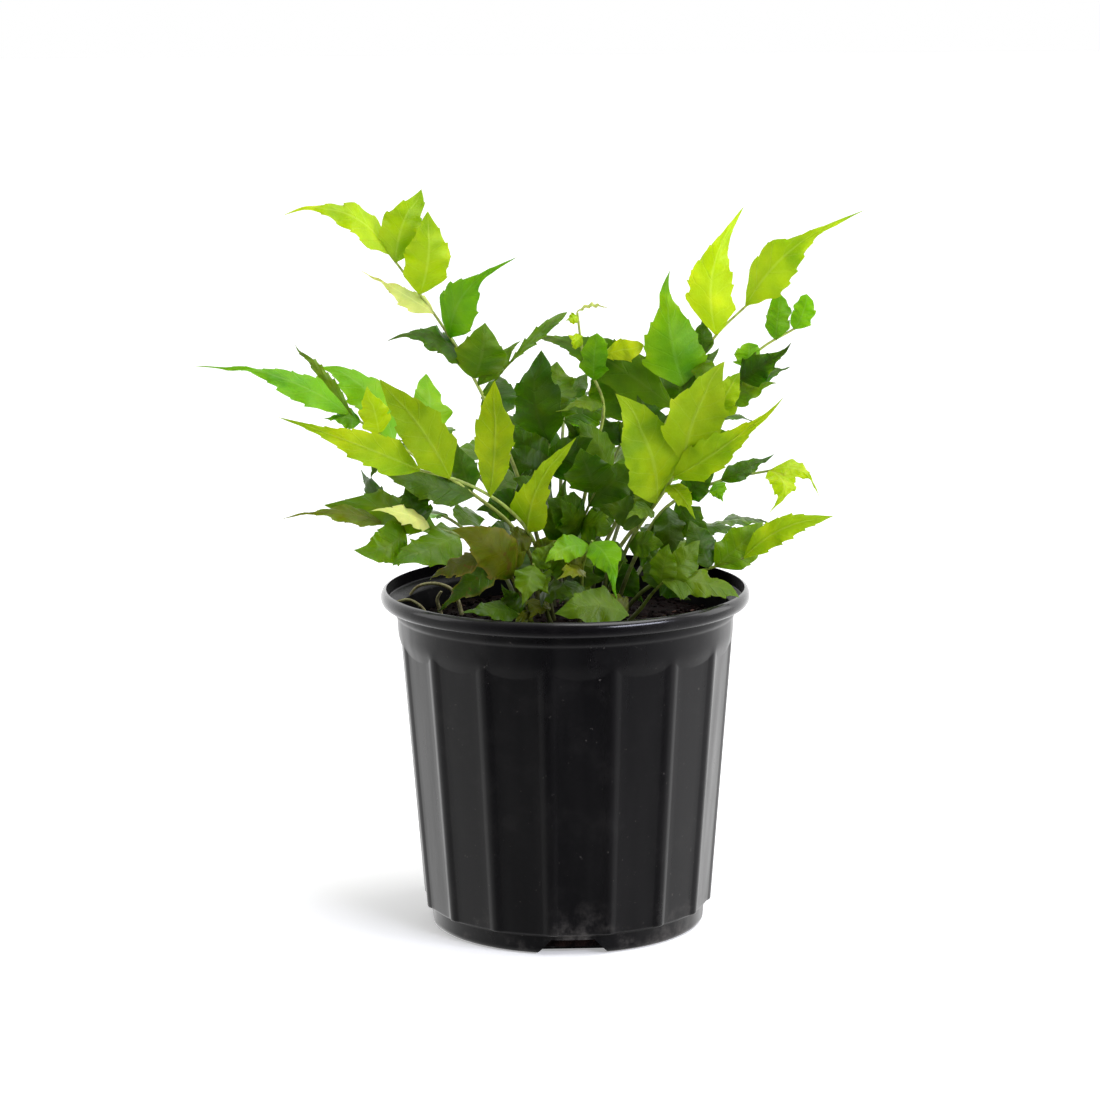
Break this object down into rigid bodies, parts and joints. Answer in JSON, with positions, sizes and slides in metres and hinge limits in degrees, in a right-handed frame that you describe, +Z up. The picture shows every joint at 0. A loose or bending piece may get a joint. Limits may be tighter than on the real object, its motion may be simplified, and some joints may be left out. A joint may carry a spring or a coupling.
{
  "type": "potted holly fern",
  "caption": "Holly fern with arching fronds of pointed, toothed leaflets, growing in soil in a round black fluted nursery pot with foot notches.",
  "frame": {"origin": "centre of the pot's foot, on the ground", "axes": "+Z up along the pot's axis; -Y towards the viewer, where one drain notch looks; +X to the viewer's right"},
  "size_m": [0.2962, 0.2134, 0.327],
  "materials": {
    "black_plastic": "semi-gloss moulded black plastic, dusty at the foot",
    "soil": null,
    "old_stipe": "dry pale cut stalk",
    "leaf_green": null,
    "leaf_young": null,
    "leaf_underside": null,
    "leaf_old": null
  },
  "bodies": {
    "root": {"pot": "black_plastic", "potting_soil": "soil", "old_stipe_1": "old_stipe", "old_stipe_2": "old_stipe", "old_stipe_3": "old_stipe", "frond_upper_left": "leaf_young", "frond_left": "leaf_young", "frond_left_front": "leaf_underside", "frond_lower_left": "leaf_green", "frond_front_left": "leaf_old", "frond_front": "leaf_green", "frond_front_right": "leaf_green", "frond_front_low": "leaf_green", "frond_floor_left": "leaf_green", "frond_centre_back": "leaf_green", "frond_young_centre": "leaf_young", "frond_right_back": "leaf_green", "frond_upper_right": "leaf_young", "frond_far_right": "leaf_young", "frond_right_front": "leaf_underside", "frond_right": "leaf_green", "frond_lower_right": "leaf_green", "frond_floor_right": "leaf_green", "frond_middle": "leaf_green", "frond_back_left": "leaf_green", "frond_back": "leaf_green", "frond_back_right": "leaf_green", "frond_side_left": "leaf_green", "frond_side_right": "leaf_green"}
  },
  "joints": []
}
